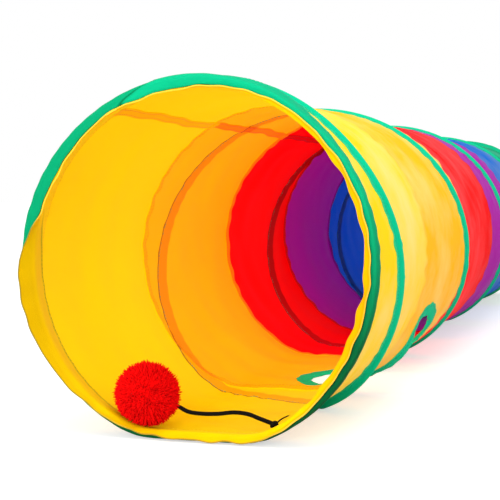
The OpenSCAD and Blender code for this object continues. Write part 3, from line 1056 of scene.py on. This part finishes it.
def make_hoop_tape(rear):
    """The tape rolled round a mouth's wire."""
    start = TAPE_END - TAPE_OVERLAP
    angle = stepped(0, TAU, 0.017, [TAPE_END, start])[:-1]
    path = roll_paths(angle, tape_lift(angle, rear), rear)
    count = path.shape[1]
    slant = np.clip((np.linspace(-0.5, 0.5, count)[None] - 0.065) / 0.25, -0.5, 0.5) * TAPE_SLANT
    slant = slant * np.exp(-((angle[:, None] - TAPE_END + TAPE_OVERLAP / 2) / TAPE_OVERLAP) ** 4)
    path = sheared(path, angle, slant)
    doubled = smooth_step(start, TAPE_END - TAPE_OVERLAP / 2, angle) * (angle < TAPE_END)
    doubled = doubled[:, None, None]
    raised = doubled * TAPE_T * np.where(path[..., :1] < 12 * MM, 1, 0.3)
    rings = thick_rings(path - path_normals(path) * raised, TAPE_T * (1 + doubled))
    turns = angle[:, None] + out_and_back(slant)
    points = place(rings[..., 1], turns, from_front(rings[..., 0], rear))
    # A painted shadow, with grime, along the step where the tape's end laps over its start.
    join = np.exp(-(((angle - TAPE_END - 0.01) / 0.018) ** 2))[:, None, None]
    shade = 1 - join * (1 - np.array(TAPE_JOIN_SHADOW_AND_GRIME))
    # Painted shade round the roll, darkest low down, with less blue in the shade.
    painted_shade = around(TAPE_SHADE, angle)[:, None, None] ** np.array([1, 1, 1.3])
    side = "rear" if rear else "front"
    tape = sweep(
        f"{side}_hoop_tape", points, TAPE,
        folded_uv(once_round(angle, TUNNEL_R), np.abs(np.linspace(-1, 1, count))), closed=True,
        flip=not rear, tint=np.broadcast_to(shade * painted_shade, (len(angle), 2 * count, 3)),
    )
    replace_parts(tape, f"{side}_hoop_casing")
    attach(tape, f"{side}_mouth")


def inner_row(angle, y, turn=0, shift=0):
    """A row of stitches on the doubled cloth's inner face, and the directions that it faces."""
    radius = fabric_r(angle, y) - 2 * FABRIC_T - 0.02 * MM
    return place(radius, angle + turn, y + shift), -outward(angle)


def make_mouth_stitches(rear):
    """The stitches through a hoop tape's outside edge, and inside along the hem's turning."""
    side, colour = ("rear", "green") if rear else ("front", "yellow")
    row = np.linspace(0, TAU, 500)
    outer_y, inner_y = (
        np.full(row.shape, from_front(HEM_LEN - inset, rear)) for inset in (1.6 * MM, 1.2 * MM)
    )
    radius = fabric_r(row, outer_y) + TAPE_RISE + tape_lift(row, rear)
    outer = (place(radius, row, outer_y), outward(row))
    for piece in (
        stitches(f"{side}_hoop_stitches", [outer], GREEN_THREAD),
        stitches(
            f"{side}_hem_stitches", [inner_row(row, inner_y)], HEM_THREADS[colour]
        ),
    ):
        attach(piece, f"{side}_mouth")


def make_mouth(rear):
    """One mouth's hem, which it gives back, with the hoop's tape and the stitches."""
    hem = make_hem(rear)
    make_hoop_tape(rear)
    make_mouth_stitches(rear)
    return hem


# ---- Helix ----


# Shares across the helix's tape at which its surface is made.
TAPE_SHARES = np.array([
    -1, -0.985, -0.85, -0.6, -0.42, -0.34, -0.26, -0.18, -0.08, 0.08, 0.18, 0.26, 0.34, 0.42, 0.6, 0.85,
    0.985, 1,
])
# The first turn's slack stretch, at eight o'clock.
SLACK_TURN = 5 / 12


def helix_rows():
    """Turns of the helix that show between the hoops' casings, closely spaced."""
    first = (HEM_LEN - 1 * MM - HELIX_START - TAPE_HALF) / HELIX_PITCH
    return np.linspace(first, HELIX_TURNS - first, 1500)


def tape_surface(turn, across):
    """Angle, distance and radius on the helix tape's top at a share across it, from -1 to 1."""
    angle = math.pi / 2 - TAU * turn
    width = TAPE_HALF * (1 + 0.028 * ripples(angle, 41, (11, 47)))
    drift = 0.5 * MM * ripples(turn * TAU / HELIX_TURNS, 42, (7, 40))
    y = HELIX_START + HELIX_PITCH * turn + drift * np.abs(across) + across * width
    y = np.clip(y, HEM_LEN - 3 * MM, LENGTH - HEM_LEN + 3 * MM)
    slack = np.exp(-(((turn - SLACK_TURN) * 360 / 24) ** 2))
    hump = (2.35 + 4 * slack) * MM * np.exp(-((across * TAPE_HALF / ((2.6 + 3.4 * slack) * MM)) ** 4))
    ripple = 0.22 * MM * np.abs(across) ** 2 * (1 + ripples(angle, 43, (30, 80)))
    top = fabric_r(angle, y) + TAPE_T + 0.05 * MM + hump + np.maximum(ripple, 0)
    return angle, y, top


def make_helix():
    """The helix's tape with its stitches, and the wire inside it, all on the front mouth's body."""
    turn = helix_rows()
    t, across = np.meshgrid(turn, TAPE_SHARES, indexing="ij")
    angle, y, top = tape_surface(t, across)
    low = np.where(np.abs(across) < 0.3, top - TAPE_T, fabric_r(angle, y) + 0.03 * MM)
    radius = out_and_back(top, np.minimum(low, top - 0.35 * MM))
    rings = place(radius, out_and_back(angle), out_and_back(y))
    uv = folded_uv(turn * TAU * FABRIC_R, np.abs(TAPE_SHARES))
    tape = sweep("helix_tape", rings, TAPE, uv)
    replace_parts(tape, "helix_casing")

    path = place(FABRIC_R + WIRE_R + 0.1 * MM, angle[:, 0], HELIX_START + HELIX_PITCH * turn)
    wire = round_tube("helix_spring", path, WIRE_R, 8, STEEL)
    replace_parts(wire, "helix_wire")

    dense = np.linspace(turn[0] + 0.075, turn[-1] - 0.075, 5000)
    rows = []
    for share in (-0.8, 0.8):
        a, d, r = tape_surface(dense, np.full(dense.shape, share))
        rows.append((place(r + 0.05 * MM, a, d), outward(a)))
        if share < 0:
            rows.append((place(fabric_r(a, d) - FABRIC_T + 0.1 * MM, a, d), -outward(a)))
    thread = stitches("helix_stitches", rows, GREEN_THREAD)
    for piece in (tape, wire, thread):
        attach(piece, "front_mouth")
        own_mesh(piece)


# ---- Peephole ----


def hole_point(reach, turn, height):
    """A point at a distance and direction from the peephole's middle, height above the cloth."""
    angle = HOLE_ANGLE + reach * np.sin(turn) / FABRIC_R
    y = HOLE_Y + reach * np.cos(turn)
    return angle, y, fabric_r(angle, y) + height


# The folded tape's section: how far it is beyond the hole's edge and above the cloth, in millimetres.
BINDING = [
    (12, 0.1), (12, 0.6), (8, 0.9), (4, 1.0), (1.5, 0.9), (0.1, 0.3), (-0.2, -0.4), (0.5, -1.2),
    (2.5, -1.6), (6, -1.5), (12, -1.2), (12, -0.7), (5, -0.7), (2.2, -0.6), (1.6, -0.2), (2.2, 0.1),
    (6, 0.1),
]


def make_binding():
    """Tape folded over the hole's edge, gathered into small puckers."""
    turn = np.linspace(0, TAU, 361)[:-1]
    t = turn[:, None]
    beyond, height = np.array(BINDING).T * MM
    reach = HOLE_R + beyond + 0.35 * MM * ripples(t, 51, (14, 38))
    puckers = 0.25 * MM * ripples(t, 52, (22, 46)) * smooth_step(9 * MM, 0, beyond)
    angle, y, radius = hole_point(reach, t, height + puckers)
    uv = grid(once_round(turn, HOLE_R), np.linspace(0, 1, len(BINDING) + 1))
    rings = place(radius, angle, y)
    binding = sweep("peephole_tape", rings, TAPE, uv, closed=True, flip=True)
    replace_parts(binding, "peephole_binding")
    ride_and_squash(binding, 1)
    row = np.linspace(0, TAU, 400)
    rows = []
    for height, sign in ((0.95 * MM, 1), (-1.55 * MM, -1)):
        a, d, r = hole_point(HOLE_R + 9.5 * MM, row, height)
        rows.append((place(r, a, d), sign * outward(a)))
    ride_and_squash(stitches("peephole_stitches", rows, GREEN_THREAD), 1)
    return binding


def make_seam_stitches(index):
    """Stitches inside a panel: two rows beside its rear seam, and two along the lap."""
    low, high = panel_span(index)
    rows = []
    if index < len(PANELS) - 1:
        angle = np.linspace(0, TAU, 420)
        for inset in (1.8 * MM, 6 * MM):
            y = np.full(angle.shape, high - inset)
            rows.append(inner_row(angle, y, 0, seam_shift(angle, y)))
    y = np.linspace(low + 1 * MM, high - SEAM_LAP, 200)
    for share in (0.2, 0.8):
        angle = np.full(y.shape, LAP_ANGLES[0] + (LAP_ANGLES[1] - LAP_ANGLES[0]) * share)
        rows.append(inner_row(angle, y, lap_shift(y), seam_shift(angle, y)))
    colour = PANELS[index]
    ride_and_squash(stitches(f"{colour}_stitches", rows, THREADS[colour]), index)


# ---- Stage ----


FLOOR_HALF = 12
LAMP_AIM = (0, -0.4, 0.1)
# The lamps outside, with their places, sizes and powers, and those on the tunnel's axis, which stand
# for the light that the thin cloth lets in, with their distances from the middle.
LAMPS = [("key", (0.5, -0.6, 2.4), 1.6, 26), ("front", (0.1, -2.7, 0.5), 1.0, 40)]
INSIDE_LAMPS = (0.17, 0.33, 0.5)
INSIDE_POWER, INSIDE_SIZE = 0.14, 0.04
WHITE = (1, 1, 1, 1)
FLOOR_GREY, FLOOR_GLOW = 0.6, 0.55
# How bright the background looks, and how strongly it lights.
BACKGROUND, SKY = 1.0, 1.0


def make_stage():
    """A white floor that takes shadows, and looks as bright as the background."""
    mesh = bpy.data.meshes.new("floor")
    corners = [(-1, -1), (1, -1), (1, 1), (-1, 1)]
    mesh.from_pydata([(x * FLOOR_HALF, y * FLOOR_HALF, 0) for x, y in corners], [], [(0, 1, 2, 3)])
    in_scene("floor", mesh)
    material, tree = new_material("floor_white")
    skin = add(tree, "BsdfDiffuse", {"Color": (FLOOR_GREY, FLOOR_GREY, FLOOR_GREY, 1)})
    white = add(tree, "Emission", {"Color": WHITE, "Strength": FLOOR_GLOW})
    both = add(tree, "AddShader", {0: skin.outputs[0], 1: white.outputs[0]})
    seen = background_ray(tree)
    mix = add(tree, "MixShader", {0: seen, 1: skin.outputs[0], 2: both.outputs[0]})
    add(tree, "OutputMaterial", {0: mix.outputs[0]})
    mesh.materials.append(material)


def background_ray(tree):
    """1 for the rays that see the background itself, straight or in a glossy or clear surface."""
    path = add(tree, "LightPath").outputs
    most = calc(tree, "MAXIMUM", path["Is Camera Ray"], path["Is Glossy Ray"])
    return calc(tree, "MAXIMUM", most, path["Is Transmission Ray"])


def make_light():
    """An even white world, two lamps in front of and above the mouth, and three inside."""
    scene = bpy.context.scene
    world = scene.world or bpy.data.worlds.new("world")
    scene.world = world
    world.use_nodes = True
    tree = world.node_tree
    tree.nodes.clear()
    seen, soft = (
        add(tree, "Background", {"Color": WHITE, "Strength": strength}).outputs[0]
        for strength in (BACKGROUND, SKY)
    )
    mix = add(tree, "MixShader", {0: background_ray(tree), 1: soft, 2: seen})
    add(tree, "OutputWorld", {0: mix.outputs[0]})
    for name, spot, size, power in LAMPS:
        data = bpy.data.lights.new(name, "AREA")
        data.size, data.energy = size, power
        lamp = in_scene(name, data)
        lamp.location = spot
        lamp.rotation_euler = Vector(np.subtract(LAMP_AIM, spot)).to_track_quat("-Z", "Y").to_euler()
    for y in INSIDE_LAMPS:
        data = bpy.data.lights.new("inside", "POINT")
        data.energy, data.shadow_soft_size = INSIDE_POWER, INSIDE_SIZE
        in_scene("inside", data).location = (0, y - HALF_LEN, AXIS_Z)
    scene.view_settings.view_transform = "Standard"


# ---- Everything ----


def finish_hidden_parts():
    """The CAD's own hoops, ferrules and inner knot stay, in better materials."""
    for node, material in (
        ("front_hoop_wire", STEEL), ("rear_hoop_wire", STEEL),
        ("front_ferrule", FERRULE), ("rear_ferrule", FERRULE), ("pom_knot", ELASTIC),
    ):
        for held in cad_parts[node].material_slots:
            held.material = material


make_camera()
make_elastic()
make_anchor()
make_pom()
make_helix()
sewn_on = {0: [make_mouth(rear=False)], 5: [make_mouth(rear=True)], 1: [make_binding()]}
for index in range(len(PANELS)):
    panel = make_panel(index)
    make_seam_stitches(index)
finish_hidden_parts()
make_stage()
make_light()
